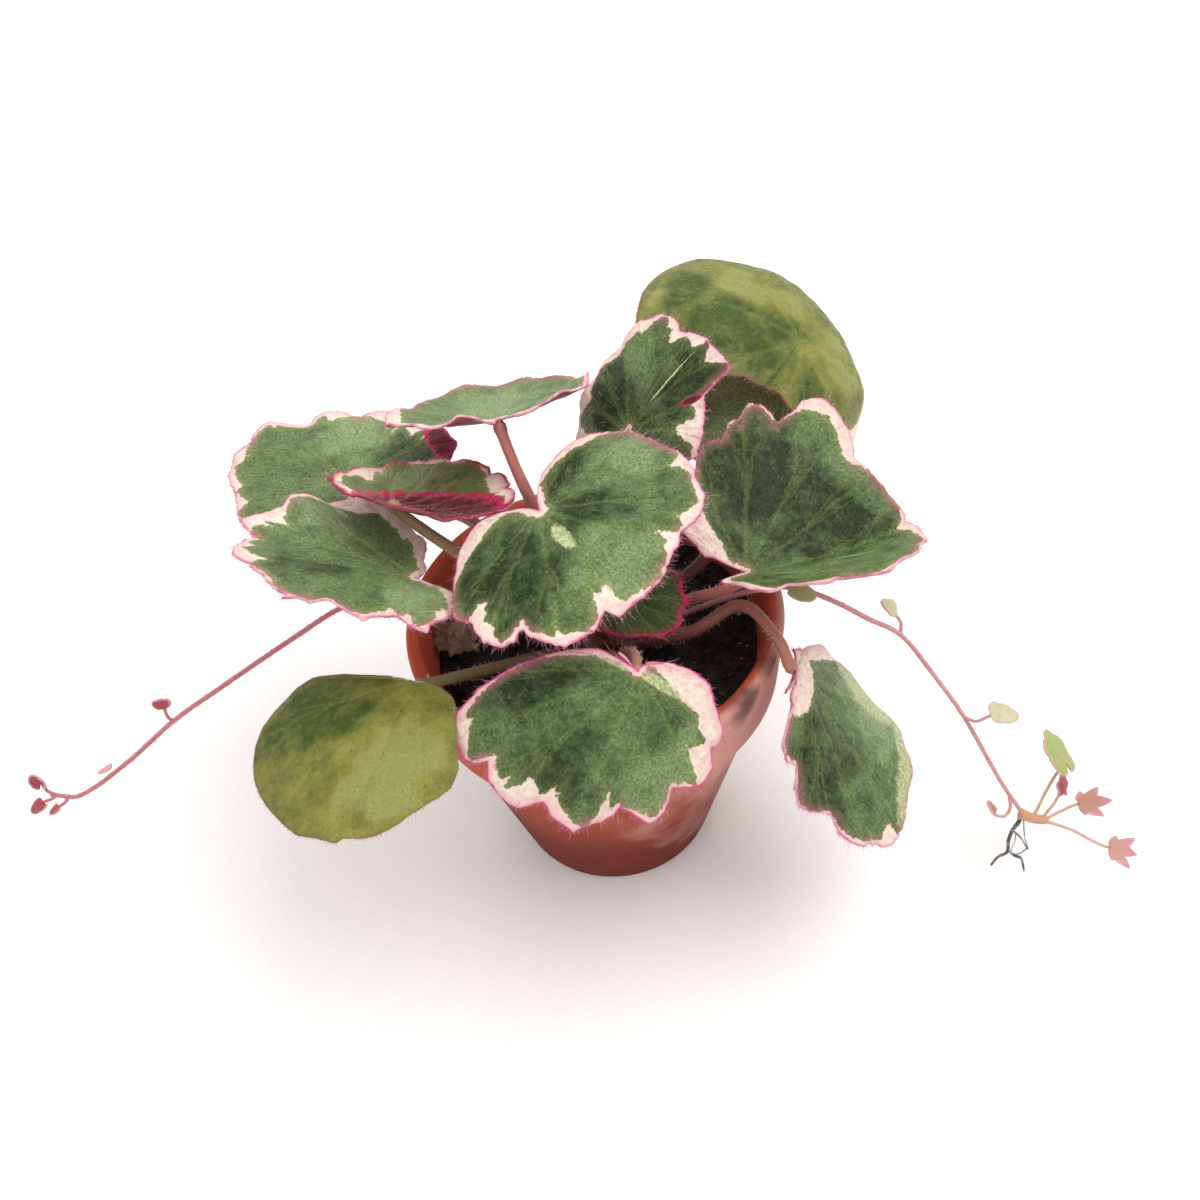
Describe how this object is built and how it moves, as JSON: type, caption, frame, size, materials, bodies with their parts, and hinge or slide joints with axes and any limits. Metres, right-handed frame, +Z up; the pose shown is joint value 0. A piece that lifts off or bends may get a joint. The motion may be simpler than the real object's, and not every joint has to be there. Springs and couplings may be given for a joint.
{
  "type": "potted strawberry begonia",
  "caption": "Rosette of round scalloped variegated leaves on stalks, growing in a small tapered pot, with thin runners that trail over the rim and carry bracts and young plantlets.",
  "frame": {"origin": "centre of the pot's foot, on the plane that the pot stands on", "axes": "+Z up out of the pot, +X towards the right runner and its plantlet, -Y towards the viewer of the picture"},
  "size_m": [0.2691, 0.1352, 0.126],
  "materials": {
    "terracotta": "unglazed fired clay, dusty",
    "potting_mix": "damp peat with grit",
    "crown_stem": "rough brown stem",
    "leaf_green": "fleshy hairy leaf, green with cream margin and pink edge",
    "leaf_olive": "smoother fleshy leaf, olive green",
    "stalk_pink_brown": "hairy fleshy stalk",
    "runner_pink": "thin fleshy runner",
    "plantlet_orange": "fleshy young stem",
    "bract_pink_green": "small fleshy leaf, pink and green",
    "root_grey": "dry thin root"
  },
  "bodies": {
    "root": {"blade_back": "leaf_green", "blade_back_left": "leaf_green", "blade_back_right": "leaf_olive", "blade_back_shaded": "leaf_green", "blade_centre": "leaf_green", "blade_far_left": "leaf_green", "blade_front": "leaf_green", "blade_front_left": "leaf_olive", "blade_front_right": "leaf_green", "blade_left": "leaf_green", "blade_left_cup": "leaf_green", "blade_right": "leaf_green", "blade_young": "leaf_green", "bract_left_1": "bract_pink_green", "bract_left_2": "bract_pink_green", "bract_right_1": "bract_pink_green", "bract_right_2": "bract_pink_green", "bract_right_3": "bract_pink_green", "bract_right_4": "bract_pink_green", "crown": "crown_stem", "plantlet_right_1": "bract_pink_green", "plantlet_right_2": "bract_pink_green", "plantlet_right_3": "bract_pink_green", "plantlet_right_4": "bract_pink_green", "plantlet_right_roots": "root_grey", "plantlet_right_stems": "plantlet_orange", "pot": "terracotta", "runner_left": "runner_pink", "runner_right": "runner_pink", "soil": "potting_mix", "stalk_back": "stalk_pink_brown", "stalk_back_left": "stalk_pink_brown", "stalk_back_right": "stalk_pink_brown", "stalk_back_shaded": "stalk_pink_brown", "stalk_centre": "stalk_pink_brown", "stalk_far_left": "stalk_pink_brown", "stalk_front": "stalk_pink_brown", "stalk_front_left": "stalk_pink_brown", "stalk_front_right": "stalk_pink_brown", "stalk_left": "stalk_pink_brown", "stalk_left_cup": "stalk_pink_brown", "stalk_right": "stalk_pink_brown", "stalk_young": "stalk_pink_brown", "young_left_1": "bract_pink_green", "young_left_2": "bract_pink_green", "young_left_3": "bract_pink_green"}
  },
  "joints": []
}
